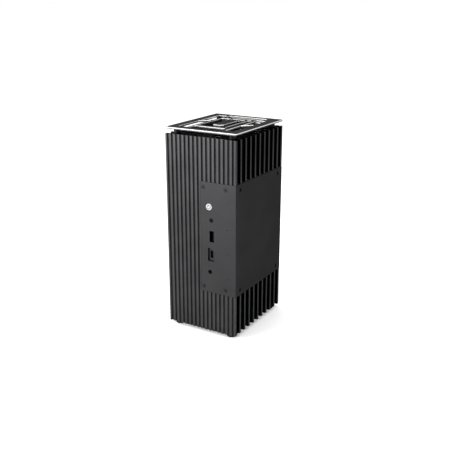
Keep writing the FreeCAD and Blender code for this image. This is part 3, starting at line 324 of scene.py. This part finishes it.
def card_material(name, card_x, edge_y):
    """Green card between two heights, black chips outside them, gilded fingers along the edge at edge_y."""
    material, tree, shader, place = start_material(name, Roughness=0.4)
    axes = add(tree, "SeparateXYZ", [("Vector", place, "Object")])
    under = add(tree, "Math", [(0, axes, "X")], operation="LESS_THAN", in_1=card_x[0] - 0.01 * MM)
    over = add(tree, "Math", [(0, axes, "X")], operation="GREATER_THAN", in_1=card_x[1] + 0.01 * MM)
    chip = add(tree, "Math", [(0, under, "Value"), (1, over, "Value")], operation="MAXIMUM")
    noise = add(tree, "TexNoise", [("Vector", place, "Object")], in_Scale=1 / (0.5 * MM))
    green = colour_between(tree, noise, "Fac", "0f3a22", "17502f")
    epoxy = colour_between(tree, noise, "Fac", "131314", "202022")
    body = add(tree, "Mix", [(0, chip, "Value"), (6, green, "Color"), (7, epoxy, "Color")], data_type="RGBA")
    at_edge = add(tree, "Math", [(0, axes, "Y")], operation="LESS_THAN", in_1=edge_y + FINGER_LENGTH)
    across = add(tree, "Math", [(0, axes, "Z")], operation="PINGPONG", in_1=FINGER_PITCH / 2)
    finger = add(tree, "Math", [(0, across, "Value")], operation="LESS_THAN", in_1=FINGER_PITCH * 0.3)
    gilt = add(tree, "Math", [(0, at_edge, "Value"), (1, finger, "Value")], operation="MULTIPLY")
    tone = add(tree, "Mix", [(0, gilt, "Value"), (6, body, 2)], data_type="RGBA", in_7=linear("d0aa52"))
    bump = add(tree, "Bump", [("Height", noise, "Fac")], in_Strength=0.3, in_Distance=0.01 * MM)
    join_links(tree, shader, Base_Color=(tone, 2), Metallic=(gilt, "Value"), Normal=(bump, "Normal"))
    return material


for name in ("memory_module_low", "memory_module_high"):
    low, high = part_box(name)
    dress(card_material("green_" + name, (low.x + MODULE_CHIP, high.x - MODULE_CHIP), low.y), name)
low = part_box("ssd_module")[0]
dress(card_material("green_storage_card", (low.x - MM, low.x + STORAGE_CARD), low.y), "ssd_module")


# ---- Coin cell ----
# The clock's cell, a can pressed from stainless steel and clipped into its holder. Fine rings from the
# press tool run round its flat.
def middle_of(node):
    """The middle of a CAD node's box."""
    low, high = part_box(node)
    return (low + high) / 2


cell_steel, tree, shader, place = start_material("pressed_stainless_steel", Metallic=1.0)
centred = add(tree, "Mapping", [("Vector", place, "Object")], in_Location=-middle_of("coin_cell"))
rings = add(
    tree, "TexWave", [("Vector", centred, "Vector")], wave_type="RINGS", rings_direction="X",
    in_Scale=1 / (1.2 * MM), in_Distortion=0.3,
)
tone = colour_between(tree, rings, "Fac", "b4b6b8", "cfd1d3", (0.2, 0.8))
gloss = add(tree, "MapRange", [("Value", rings, "Fac")], in_3=0.2, in_4=0.32)
join_links(tree, shader, Base_Color=(tone, "Color"), Roughness=(gloss, "Result"))
dress(cell_steel, "coin_cell")


# ---- Chokes, capacitor cans and controllers ----
# The chokes are pressed from grey iron powder. The cans are drawn aluminium, their tops printed half dark
# for polarity. The controllers are moulded in black epoxy.
iron_powder = finish("pressed_iron_powder", "3c3e40", "54575a", grain_mm=0.3, roughness=0.7, relief_mm=0.05)
dress(iron_powder, "power_inductors")
can, tree, shader, place = start_material("drawn_aluminium_can", Metallic=0.9, Roughness=0.3)
axes = add(tree, "SeparateXYZ", [("Vector", place, "Object")])
can_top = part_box("capacitors")[1].x
top = add(tree, "Math", [(0, axes, "X")], operation="GREATER_THAN", in_1=can_top - 0.05 * MM)
side = add(tree, "Math", [(0, axes, "Z")], operation="GREATER_THAN", in_1=middle_of("capacitors").z)
mark = add(tree, "Math", [(0, top, "Value"), (1, side, "Value")], operation="MULTIPLY")
noise = add(tree, "TexNoise", [("Vector", place, "Object")], in_Scale=1 / (0.6 * MM))
metal = colour_between(tree, noise, "Fac", "b9bbbd", "d5d7d9")
tone = add(tree, "Mix", [(0, mark, "Value"), (6, metal, "Color")], data_type="RGBA", in_7=linear("2a2a38"))
join_links(tree, shader, Base_Color=(tone, 2))
dress(can, "capacitors")
epoxy = finish("moulded_black_epoxy", "151516", "222224", grain_mm=0.25, roughness=0.55, relief_mm=0.02)
dress(epoxy, "controller_chips", "infrared_receiver")


# ---- Bay panels: front, rear and side cover ----
# Flat 2.5 mm plates, drilled and milled, finely bead blasted and anodised black to match the extrusions.
# The blast is a fifth of a millimetre fine and even; a large soft cloud keeps the flats from looking printed.
panel_metal, tree, shader, place = start_material(
    "black_anodised_plate", Metallic=1.0, Specular_Tint=linear("a0a0a0"),
)
cloud = add(tree, "TexNoise", [("Vector", place, "Object")], in_Scale=1 / (40 * MM), in_Detail=2.0)
tone = colour_between(tree, cloud, "Fac", "323233", "353536")
bead = add(tree, "TexNoise", [("Vector", place, "Object")], in_Scale=1 / (0.2 * MM), in_Detail=2.0)
gloss = add(tree, "MapRange", [("Value", bead, "Fac")], in_3=0.44, in_4=0.54)
bump = add(tree, "Bump", [("Height", bead, "Fac")], in_Strength=0.15, in_Distance=0.02 * MM)
join_links(tree, shader, Base_Color=(tone, "Color"), Roughness=(gloss, "Result"), Normal=(bump, "Normal"))
dress(panel_metal, "front_panel", "rear_panel", "side_cover")


# ---- Panel screws ----
# Twelve countersunk socket screws, four in each panel, of steel plated in black zinc. The plate is close to
# the panels' own tone, so only the sockets look dark.
black_zinc = finish(
    "black_zinc_plating", "29292a", "333334", grain_mm=0.5, roughness=0.45,
    Metallic=1.0, Specular_Tint=linear("404040"),
)
dress(black_zinc, "panel_screws")


# ---- Front sockets ----
# Both USB shells are folded steel with a smoked nickel plate; their near-black colour is partly painted shade
# inside the slots. Their tongues are black polymer with gilded contacts, and the audio jack is moulded nylon.
# The near-black base colour stands in for painted shade inside the USB slots.
smoked_nickel_and_slot_shade = finish(
    "smoked_nickel_painted_slot_shade", "08080a", "101012", grain_mm=0.3, roughness=0.4,
    Metallic=1.0, Specular_Tint=linear("303030"),
)
dress(smoked_nickel_and_slot_shade, "front_usb_a_shell", "front_usb_c_shell")
nylon = finish(
    "moulded_black_nylon", "040404", "090909", grain_mm=0.3, roughness=0.7, Specular_IOR_Level=0.08,
)
dress(nylon, "front_usb_a_tongue", "front_usb_c_tongue", "audio_jack")
gilt = finish(
    "gilded_contact", "b48a38", "d3ae5a", grain_mm=0.2, roughness=0.3, stretch=(1, 0.1, 1), Metallic=1.0,
)


def centred_row(count, pitch):
    """Offsets of a row of like pieces from its middle."""
    return [(k - (count - 1) / 2) * pitch for k in range(count)]


STRIP_THICKNESS = 0.12 * MM


def contacts(name, face, offsets, start_y, end_y, width_mm):
    """Gilded strips on a tongue, from start_y to end_y; face is on its face, offsets are heights in mm."""
    size = (STRIP_THICKNESS, end_y - start_y, width_mm * MM)
    middle = (start_y + end_y) / 2
    places = [Vector((face.x, middle, face.z + z * MM)) for z in offsets]
    blocks(name, places, size, 0.03 * MM, gilt)


USB_A_OFFSETS = (-3.5, -1.0, 1.0, 3.5)
USB_A_REACH, USB_A_ROOT = 11.2 * MM, 3 * MM
USB_A_FACE = Vector((0.1, 0, 0)) * MM
tongue_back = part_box("front_usb_a_tongue")[1].y
usb_a_face = middle_of("front_usb_a_shell") + USB_A_FACE
start, end = tongue_back - USB_A_REACH, tongue_back - USB_A_ROOT
contacts("front_usb_a_contacts", usb_a_face, USB_A_OFFSETS, start, end, width_mm=1.0)
USB_C_OFFSETS = centred_row(12, 0.5)
USB_C_REACH, USB_C_ROOT = 6.2 * MM, 2 * MM
USB_C_FACE = Vector((0.35, 0, 0)) * MM
tongue_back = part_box("front_usb_c_tongue")[1].y
start, end = tongue_back - USB_C_REACH, tongue_back - USB_C_ROOT
for side, label in ((-1, "left"), (1, "right")):
    usb_c_face = middle_of("front_usb_c_shell") + side * USB_C_FACE
    contacts(f"front_usb_c_contacts_{label}", usb_c_face, USB_C_OFFSETS, start, end, width_mm=0.25)


# ---- Infrared window and microphone ----
# The window is a dark tinted polycarbonate lens that reads black; its colour is lighter in the middle, a
# painted sheen.
# The microphone is a tinned can behind its pin hole.
lens, tree, shader, place = start_material(
    "tinted_polycarbonate", Roughness=0.3, IOR=1.4, Specular_IOR_Level=0.1,
)
window = middle_of("infrared_window")
centred = add(tree, "Mapping", [("Vector", place, "Object")], in_Location=-window, in_Scale=(1, 0, 1))
away = add(tree, "VectorMath", [(0, centred, "Vector")], operation="LENGTH")
depth = add(tree, "MapRange", [("Value", away, "Value")], in_1=0.6 * MM, in_2=1.6 * MM)
# Lighter in the middle, darker at the rim: a painted sheen on the lens.
tone = colour_between(tree, depth, "Result", "1c191d", "070607", (0.0, 1.0))
join_links(tree, shader, Base_Color=(tone, "Color"))
dress(lens, "infrared_window")
dress(finish("tinned_can", "a7a9aa", "c1c3c4", grain_mm=0.4, roughness=0.35, Metallic=1.0), "microphone")


# ---- Power button, its spring and switch ----
# A turned aluminium cap, satin and bright, with a power mark that is milled in and filled with grey paint.
# The spring is bright music wire, coiled three turns. The switch is
# a black housing with a white plunger.
cap_metal, tree, shader, place = start_material("satin_turned_aluminium", Metallic=1.0)
MARK_RADIUS = 2.7 * MM
MARK_DEPTH = 0.12 * MM
RING_WIDTH = 0.15 * MM
axis = middle_of("power_button")
cap_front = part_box("power_button")[0].y
centred = add(tree, "Mapping", [("Vector", place, "Object")], in_Location=(-axis.x, -cap_front, -axis.z))
flat = add(tree, "VectorMath", [(0, centred, "Vector")], operation="MULTIPLY", in_1=(1, 0, 1))
away = add(tree, "VectorMath", [(0, flat, "Vector")], operation="LENGTH")
within = add(tree, "Math", [(0, away, "Value")], operation="LESS_THAN", in_1=MARK_RADIUS)
axes = add(tree, "SeparateXYZ", [("Vector", centred, "Vector")])
sunk = add(tree, "Math", [(0, axes, "Y")], operation="GREATER_THAN", in_1=MARK_DEPTH)
paint = add(tree, "Math", [(0, within, "Value"), (1, sunk, "Value")], operation="MULTIPLY")
turning = add(tree, "Math", [(0, away, "Value")], operation="PINGPONG", in_1=RING_WIDTH)
lathe = add(tree, "MapRange", [("Value", turning, "Value")], in_2=RING_WIDTH)
satin = colour_between(tree, lathe, "Result", "a8a8a6", "bababa", (0.0, 1.0))
tone = add(tree, "Mix", [(0, paint, "Value"), (6, satin, "Color")], data_type="RGBA", in_7=linear("222324"))
gloss = add(tree, "MapRange", [("Value", lathe, "Result")], in_3=0.3, in_4=0.4)
join_links(tree, shader, Base_Color=(tone, 2), Roughness=(gloss, "Result"))
dress(cap_metal, "power_button")
music_wire = finish("bright_music_wire", "9b9da0", "bfc1c4", grain_mm=0.1, roughness=0.25, Metallic=1.0)
WIRE_RADIUS = 0.16 * MM
TURNS, STEPS_A_TURN = 3, 32
spring_low, spring_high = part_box("button_spring")
spring_length = spring_high.y - spring_low.y
coil_radius = (spring_high.x - spring_low.x) / 2 - WIRE_RADIUS
climb = spring_length - 2 * WIRE_RADIUS
steps = TURNS * STEPS_A_TURN
bm = bmesh.new()
start = Matrix.Translation((axis.x + coil_radius, spring_low.y + WIRE_RADIUS, axis.z))
bmesh.ops.create_circle(bm, cap_ends=False, segments=12, radius=WIRE_RADIUS, matrix=start)
bmesh.ops.spin(
    bm, geom=bm.edges[:], cent=axis, axis=(0, 1, 0), dvec=(0, climb / steps, 0),
    angle=TURNS * math.tau, steps=steps, use_merge=False, use_duplicate=False,
)
bmesh.ops.holes_fill(bm, edges=[edge for edge in bm.edges if edge.is_boundary], sides=0)
bmesh.ops.recalc_face_normals(bm, faces=bm.faces)
for face in bm.faces:
    face.smooth = len(face.verts) == 4
return_spring = finished_piece("return_spring", bm, music_wire)
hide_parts("button_spring")
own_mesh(return_spring)
dress(music_wire, "button_spring")
dress(glass_filled, "power_switch")
dress(finish("white_acetal", "d8d6d0", "e8e6e1", grain_mm=0.3, roughness=0.4), "switch_plunger")


# ---- Rear sockets ----
# The shells are folded from steel and nickel plated bright, and their tongues carry moulded covers and
# gilded contacts. The power inlet and the antenna plugs are black nylon.
shell_nickel = finish("nickel_plated_steel", "9c9e9f", "bcbebf", grain_mm=0.8, roughness=0.27, Metallic=1.0)
dress(shell_nickel, "screen_socket", "video_socket", "lan_socket", "rear_usb_socket")
dress(nylon, "dc_jack", "antenna_plugs")


def tongue_cover(name, middle, size, material):
    """Moulded cover that wraps a tongue, with softened edges."""
    blocks(name, [middle], size, 0.15 * MM, material)


SCREEN_TIP, SCREEN_ROOT = 1.95 * MM, 1.6 * MM
SCREEN_COVER = 1.3 * MM
SCREEN_BARE = 0.4 * MM
SCREEN_PORTS = (("screen_socket", 11.3, 9), ("video_socket", 12.5, 10))
for node, cover_mm, count in SCREEN_PORTS:
    low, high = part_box(node)
    port = middle_of(node)
    tip, root = high.y - SCREEN_TIP, low.y + SCREEN_ROOT
    cover = Vector((port.x, (tip + root) / 2, port.z))
    tongue_cover(node + "_tongue_cover", cover, (SCREEN_COVER, tip - root, cover_mm * MM), nylon)
    for side, label in ((-1, "left"), (1, "right")):
        face = port + Vector((side * SCREEN_COVER / 2, 0, 0))
        offsets = centred_row(count, 1.0)
        contacts(f"{node}_contacts_{label}", face, offsets, root, tip - SCREEN_BARE, width_mm=0.45)

# The double socket's two slots stand side by side. Each blue cover lies off its slot's middle, towards +X.
blue_polymer = finish("moulded_blue_polymer", "1b4f9c", "2560b4", grain_mm=0.4, roughness=0.45)
USB_TIP, USB_ROOT = 1.45 * MM, 2.7 * MM
USB_SLOT = 4.0 * MM
USB_COVER = Vector((2.0, 0, 11.3)) * MM
USB_COVER_OFF = 1.05 * MM
USB_BARE = 0.5 * MM
low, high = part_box("rear_usb_socket")
port = middle_of("rear_usb_socket")
tip, root = high.y - USB_TIP, low.y + USB_ROOT
for side, label in ((-1, "left"), (1, "right")):
    slot_x = port.x + side * USB_SLOT
    cover = Vector((slot_x + USB_COVER_OFF, (tip + root) / 2, port.z))
    size = (USB_COVER.x, tip - root, USB_COVER.z)
    tongue_cover(f"rear_usb_tongue_cover_{label}", cover, size, blue_polymer)
    face = Vector((slot_x + USB_COVER_OFF - USB_COVER.x / 2, 0, port.z))
    contacts(f"rear_usb_contacts_{label}", face, USB_A_OFFSETS, root, tip - USB_BARE, width_mm=1.0)


# ---- Network socket: spring contacts and status lights ----
# Eight gilded wires lean out of the socket's left wall. Two moulded light pipes, one green and one amber,
# sit in the outer corners of its face.
WIRE = Vector((0.3, 7.5, 0.45)) * MM
WIRE_LEAN = math.radians(12)
WIRE_OFF, WIRE_IN = 2.9 * MM, 6.5 * MM
lan = middle_of("lan_socket")
lan_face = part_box("lan_socket")[1].y
lean = Matrix.Rotation(-WIRE_LEAN, 4, "Z")
bm = bmesh.new()
for z in centred_row(8, 1.02):
    spot = Matrix.Translation((lan.x - WIRE_OFF, lan_face - WIRE_IN, lan.z + z * MM))
    bmesh.ops.create_cube(bm, size=1.0, matrix=spot @ lean @ Matrix.Diagonal((*WIRE, 1.0)))
bmesh.ops.bevel(bm, geom=bm.edges[:], offset=0.1 * MM, segments=2, profile=0.5, affect="EDGES", material=-1)
finished_piece("lan_contacts", bm, gilt)
LIGHT_PIPE = Vector((2.6, 0.5, 1.5)) * MM
LIGHT_PLACE = Vector((4.9, -0.12, 6.95)) * MM
for side, label, dark, light in ((-1, "green", "3f8f4a", "56a861"), (1, "amber", "b98232", "d39b48")):
    pipe_plastic = finish(
        f"{label}_light_pipe", dark, light, grain_mm=0.5, roughness=0.25, Transmission_Weight=0.3,
    )
    spot = Vector((lan.x + LIGHT_PLACE.x, lan_face + LIGHT_PLACE.y, lan.z + side * LIGHT_PLACE.z))
    blocks(f"lan_light_{label}", [spot], LIGHT_PIPE, 0.15 * MM, pipe_plastic)


# ---- Centre pin of the power inlet ----
# A turned and nickel-plated sleeve with a rounded tip. It is pressed over the inlet's core and stops short
# of the inlet's mouth.
PIN_RADIUS = 1.08 * MM
PIN_IN, PIN_ROOT = 1.4 * MM, 3.0 * MM
PIN_ROUND = 0.6 * MM
INLET_RADIUS = 5.0 * MM
dc_low, dc_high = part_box("dc_jack")
pin_tip, pin_root = dc_high.y - PIN_IN, dc_low.y + PIN_ROOT
bm = bmesh.new()
turn = Matrix.Rotation(math.radians(-90), 4, "X")
spot = Matrix.Translation((dc_high.x - INLET_RADIUS, (pin_tip + pin_root) / 2, middle_of("dc_jack").z))
bmesh.ops.create_cone(
    bm, cap_ends=True, segments=32, radius1=PIN_RADIUS, radius2=PIN_RADIUS,
    depth=pin_tip - pin_root, matrix=spot @ turn,
)
rim = [edge for edge in bm.edges if all(vert.co.y > pin_tip - 0.1 * MM for vert in edge.verts)]
bmesh.ops.bevel(bm, geom=rim, offset=PIN_ROUND, segments=4, profile=0.5, affect="EDGES", material=-1)
for face in bm.faces:
    face.smooth = True
finished_piece("dc_jack_pin", bm, shell_nickel)


# ---- Top grille: floating milled plate ----
# Satin black anodised faces; the outline and every slot are milled after dyeing, so their walls are bright.
# A narrow dark band, 1.1 mm high, runs along the lower edge of every wall.
grille_face, tree, shader, place = start_material(
    "two_tone_milled_grille", Metallic=1.0, Specular_Tint=linear("303030"),
)
BAND = 1.1 * MM
facing = add(tree, "SeparateXYZ", [("Vector", place, "Normal")])
steep = add(tree, "Math", [(0, facing, "Z")], operation="ABSOLUTE")
wall = add(tree, "MapRange", [("Value", steep, "Value")], in_1=0.93, in_2=0.98, in_3=1.0, in_4=0.0)
axes = add(tree, "SeparateXYZ", [("Vector", place, "Object")])
low_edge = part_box("top_grille")[0].z
above = add(tree, "Math", [(0, axes, "Z")], operation="GREATER_THAN", in_1=low_edge + BAND)
cut = add(tree, "Math", [(0, wall, "Result"), (1, above, "Value")], operation="MULTIPLY")
cloud = add(tree, "TexNoise", [("Vector", place, "Object")], in_Scale=1 / (20 * MM), in_Detail=2.0)
dyed = colour_between(tree, cloud, "Fac", "4a4b4c", "565758")
cutter = add(tree, "TexNoise", [("Vector", place, "Object")], in_Scale=1 / (0.3 * MM), in_Detail=1.0)
bright = colour_between(tree, cutter, "Fac", "e2e2e0", "f4f4f2")
tone = add(tree, "Mix", [(0, cut, "Value"), (6, dyed, "Color"), (7, bright, "Color")], data_type="RGBA")
gloss = add(tree, "MapRange", [("Value", cut, "Value")], in_3=0.5, in_4=0.22)
join_links(tree, shader, Base_Color=(tone, 2), Roughness=(gloss, "Result"))
dress(grille_face, "top_grille")


# ---- Feet ----
# Four tapered feet moulded from matt black rubber, each held up by a screw through its middle. The rubber
# keeps the half-millimetre spark-eroded texture of its mould.
rubber, tree, shader, place = start_material("moulded_black_rubber", Roughness=0.8, Specular_IOR_Level=0.2)
cells = add(tree, "TexVoronoi", [("Vector", place, "Object")], in_Scale=1 / (0.5 * MM))
tone = colour_between(tree, cells, "Distance", "060606", "0e0e0e", (0.0, 1.0))
bump = add(tree, "Bump", [("Height", cells, "Distance")], in_Strength=0.3, in_Distance=0.05 * MM)
join_links(tree, shader, Base_Color=(tone, "Color"), Normal=(bump, "Normal"))
dress(rubber, "foot_front_left", "foot_rear_left", "foot_front_right", "foot_rear_right")


# ---- Camera ----
# Standing in front and to the right, a little above the plate, and looking slightly down, so that the
# front, the side cover and the plate's face all show.
camera_data = bpy.data.cameras.new("camera")
camera_data.sensor_width = 36.0
camera_data.lens = 54.92
camera_data.clip_start = 0.01
camera = bpy.data.objects.new("camera", camera_data)
bpy.context.scene.collection.objects.link(camera)
azimuth, elevation = math.radians(30.785), math.radians(18.217)
level = math.cos(elevation)
look = Vector((-math.sin(azimuth) * level, math.cos(azimuth) * level, -math.sin(elevation)))
camera.location = (0.4209, -0.7019, 0.3871)
camera.rotation_euler = look.to_track_quat("-Z", "Y").to_euler()
bpy.context.scene.camera = camera


# ---- Floor, surround and studio lamps ----
# A pale seamless floor, faintly lit from below as on a light table, in an even white surround. The key lamp
# stands at the front left, so the front is brighter than the side, and its top brighter than its foot.
# The overhead lamp lights the floor.
FLOOR_HALF = 30.0
mesh = bpy.data.meshes.new("floor")
bm = bmesh.new()
bmesh.ops.create_grid(bm, x_segments=2, y_segments=2, size=FLOOR_HALF)
bm.to_mesh(mesh)
bm.free()
floor = bpy.data.objects.new("floor", mesh)
bpy.context.scene.collection.objects.link(floor)
floor_paper, tree, shader, place = start_material(
    "pale_paper_floor", Roughness=0.9, Emission_Color=(1, 1, 1, 1), Emission_Strength=0.08,
)
fibre = add(tree, "TexNoise", [("Vector", place, "Object")], in_Scale=3.0)
tone = colour_between(tree, fibre, "Fac", "fbfbfb", "ffffff")
join_links(tree, shader, Base_Color=(tone, "Color"))
mesh.materials.append(floor_paper)

world = bpy.data.worlds.new("studio")
world.use_nodes = True
world.node_tree.nodes["Background"].inputs["Color"].default_value = (1, 1, 1, 1)
world.node_tree.nodes["Background"].inputs["Strength"].default_value = 1.0
bpy.context.scene.world = world
bpy.context.scene.view_settings.view_transform = "Standard"


def soft_box(name, place, target, width, height, watts, spread=180):
    """Rectangular lamp at place, turned to target, that shines over a spread in degrees."""
    data = bpy.data.lights.new(name, "AREA")
    data.shape = "RECTANGLE"
    data.size, data.size_y = width, height
    data.energy = watts
    data.spread = math.radians(spread)
    lamp = bpy.data.objects.new(name, data)
    bpy.context.scene.collection.objects.link(lamp)
    lamp.location = place
    lamp.rotation_euler = (Vector(target) - Vector(place)).to_track_quat("-Z", "Y").to_euler()


crown = Vector((0, 0, cad_high.z))
soft_box("key_front_left", (-0.55, -0.75, 0.42), crown, width=0.45, height=0.45, watts=2.0, spread=60)
soft_box("overhead", (0.0, 0.0, 2.0), (0, 0, 0), width=2.0, height=2.0, watts=24)
